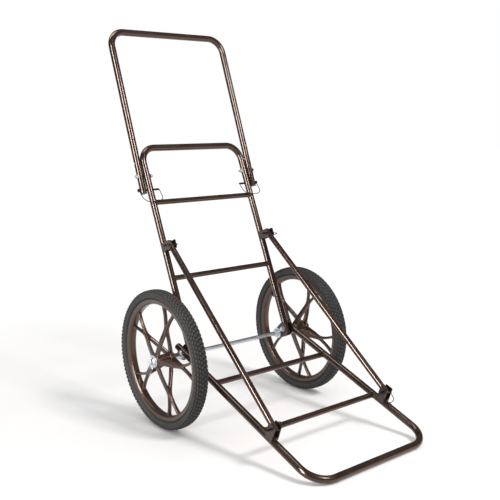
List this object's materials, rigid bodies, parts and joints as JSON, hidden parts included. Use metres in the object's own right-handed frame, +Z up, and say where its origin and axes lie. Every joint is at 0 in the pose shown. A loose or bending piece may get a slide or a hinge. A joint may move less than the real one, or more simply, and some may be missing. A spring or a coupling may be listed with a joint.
{
  "type": "folding game cart",
  "caption": "Folding two-wheeled cart: a U-shaped tubular bed and a leaning back frame with folding handle, hinged above one axle, held open by pinned braces.",
  "frame": {"origin": "centre of the object's footprint, on the floor", "axes": "+Z up, -Y towards the bed's front bow, +Y towards the handle, X along the axle"},
  "size_m": [0.776, 1.1468, 1.457],
  "materials": {
    "brown_powder_coat": "gloss brown powder coat",
    "dark_plate_coat": "dark brown powder coat on pressed plate",
    "wheel_brown": "satin brown coat",
    "tyre_rubber": "dull rubber",
    "bushing_nylon": "black nylon",
    "black_plastic": "black moulded plastic",
    "black_steel": "black oxide steel",
    "zinc": "bright zinc plate"
  },
  "bodies": {
    "bed": {"bed_frame": "brown_powder_coat", "bed_rear_cross_bar": "brown_powder_coat", "bed_front_cross_bar": "brown_powder_coat", "bed_end_plugs": "black_plastic", "left_axle_bracket": "dark_plate_coat", "right_axle_bracket": "dark_plate_coat", "left_lower_brace_bracket": "dark_plate_coat", "right_lower_brace_bracket": "dark_plate_coat", "hinge_bolts": "zinc", "hinge_washers": "zinc", "hinge_nuts": "zinc", "axle": "zinc", "axle_nuts": "zinc", "axle_washers": "zinc", "axle_spacers": "zinc", "hub_washers": "zinc", "axle_collars": "zinc", "cotter_pins": "zinc"},
    "left_wheel": {"left_wheel": "wheel_brown", "left_tyre": "tyre_rubber", "left_hub_bushings": "bushing_nylon"},
    "right_wheel": {"right_wheel": "wheel_brown", "right_tyre": "tyre_rubber", "right_hub_bushings": "bushing_nylon"},
    "back": {"back_frame": "brown_powder_coat", "back_lower_cross_bar": "brown_powder_coat", "back_upper_cross_bar": "brown_powder_coat", "left_upper_brace_bracket": "dark_plate_coat", "right_upper_brace_bracket": "dark_plate_coat", "handle_pivot_bolts": "zinc", "handle_pivot_washers": "zinc", "handle_pivot_nuts": "zinc", "handle_spacers": "black_plastic"},
    "handle": {"handle_frame": "brown_powder_coat", "handle_end_plugs": "black_plastic"},
    "left_brace": {"left_brace": "brown_powder_coat"},
    "right_brace": {"right_brace": "brown_powder_coat"},
    "left_handle_pin": {"left_handle_pin": "black_steel"},
    "left_handle_pin_wire": {"left_handle_pin_wire": "black_steel"},
    "left_upper_pin": {"left_upper_pin": "black_steel"},
    "left_upper_pin_wire": {"left_upper_pin_wire": "black_steel"},
    "left_lower_pin": {"left_lower_pin": "black_steel"},
    "left_lower_pin_wire": {"left_lower_pin_wire": "black_steel"},
    "right_handle_pin": {"right_handle_pin": "black_steel"},
    "right_handle_pin_wire": {"right_handle_pin_wire": "black_steel"},
    "right_upper_pin": {"right_upper_pin": "black_steel"},
    "right_upper_pin_wire": {"right_upper_pin_wire": "black_steel"},
    "right_lower_pin": {"right_lower_pin": "black_steel"},
    "right_lower_pin_wire": {"right_lower_pin_wire": "black_steel"}
  },
  "joints": [
    {"name": "left_wheel_spin", "type": "hinge", "parent": "bed", "child": "left_wheel", "pos_m": [-0.334, 0.15935, 0.254], "axis": [1, 0, 0], "continuous": true},
    {"name": "right_wheel_spin", "type": "hinge", "parent": "bed", "child": "right_wheel", "pos_m": [0.334, 0.15935, 0.254], "axis": [1, 0, 0], "continuous": true},
    {"name": "back_fold", "type": "hinge", "parent": "bed", "child": "back", "pos_m": [0, 0.12556, 0.27585], "axis": [1, 0, 0], "range_deg": [0, 118]},
    {"name": "handle_fold", "type": "hinge", "parent": "back", "child": "handle", "pos_m": [0, 0.37633, 0.89966], "axis": [1, 0, 0], "range_deg": [-180, 0]},
    {"name": "left_brace_swing", "type": "hinge", "parent": "back", "child": "left_brace", "pos_m": [-0.2348, 0.22903, 0.65387], "axis": [1, 0, 0], "range_deg": [-151, 0]},
    {"name": "right_brace_swing", "type": "hinge", "parent": "back", "child": "right_brace", "pos_m": [0.2348, 0.22903, 0.65387], "axis": [1, 0, 0], "range_deg": [-151, 0]},
    {"name": "left_handle_pin_draw", "type": "slide", "parent": "back", "child": "left_handle_pin", "axis": [-1, 0, 0], "range_m": [0, 0.084]},
    {"name": "left_handle_pin_wire_swing", "type": "hinge", "parent": "left_handle_pin", "child": "left_handle_pin_wire", "pos_m": [-0.2808, 0.35777, 0.84946], "axis": [0, 0.7199, -0.6941], "range_deg": [0, 110]},
    {"name": "left_upper_pin_draw", "type": "slide", "parent": "left_brace", "child": "left_upper_pin", "axis": [1, 0, 0], "range_m": [0, 0.046]},
    {"name": "left_upper_pin_wire_swing", "type": "hinge", "parent": "left_upper_pin", "child": "left_upper_pin_wire", "pos_m": [-0.215, 0.22903, 0.65387], "axis": [0, 0.1226, 0.9925], "range_deg": [0, 110]},
    {"name": "left_lower_pin_draw", "type": "slide", "parent": "bed", "child": "left_lower_pin", "axis": [1, 0, 0], "range_m": [0, 0.046]},
    {"name": "left_lower_pin_wire_swing", "type": "hinge", "parent": "left_lower_pin", "child": "left_lower_pin_wire", "pos_m": [-0.2422, -0.3698, 0.13409], "axis": [0, 0.7991, 0.6012], "range_deg": [0, 110]},
    {"name": "right_handle_pin_draw", "type": "slide", "parent": "back", "child": "right_handle_pin", "axis": [1, 0, 0], "range_m": [0, 0.084]},
    {"name": "right_handle_pin_wire_swing", "type": "hinge", "parent": "right_handle_pin", "child": "right_handle_pin_wire", "pos_m": [0.2808, 0.35777, 0.84946], "axis": [0, -0.7199, 0.6941], "range_deg": [0, 110]},
    {"name": "right_upper_pin_draw", "type": "slide", "parent": "right_brace", "child": "right_upper_pin", "axis": [1, 0, 0], "range_m": [0, 0.046]},
    {"name": "right_upper_pin_wire_swing", "type": "hinge", "parent": "right_upper_pin", "child": "right_upper_pin_wire", "pos_m": [0.2546, 0.22903, 0.65387], "axis": [0, -0.0516, 0.9987], "range_deg": [0, 110]},
    {"name": "right_lower_pin_draw", "type": "slide", "parent": "bed", "child": "right_lower_pin", "axis": [1, 0, 0], "range_m": [0, 0.046]},
    {"name": "right_lower_pin_wire_swing", "type": "hinge", "parent": "right_lower_pin", "child": "right_lower_pin_wire", "pos_m": [0.2818, -0.3698, 0.13409], "axis": [0, -0.7427, 0.6697], "range_deg": [0, 110]}
  ],
  "couplings": [
    {"joint": "left_brace_swing", "follows": "back_fold", "ratio": -1.2712},
    {"joint": "right_brace_swing", "follows": "back_fold", "ratio": -1.2712},
    {"joint": "left_handle_pin_draw", "follows": "left_handle_pin_wire_swing", "m_per_rad": 0.04375},
    {"joint": "left_upper_pin_draw", "follows": "left_upper_pin_wire_swing", "m_per_rad": 0.02396},
    {"joint": "left_lower_pin_draw", "follows": "left_lower_pin_wire_swing", "m_per_rad": 0.02396},
    {"joint": "right_handle_pin_draw", "follows": "right_handle_pin_wire_swing", "m_per_rad": 0.04375},
    {"joint": "right_upper_pin_draw", "follows": "right_upper_pin_wire_swing", "m_per_rad": 0.02396},
    {"joint": "right_lower_pin_draw", "follows": "right_lower_pin_wire_swing", "m_per_rad": 0.02396}
  ]
}
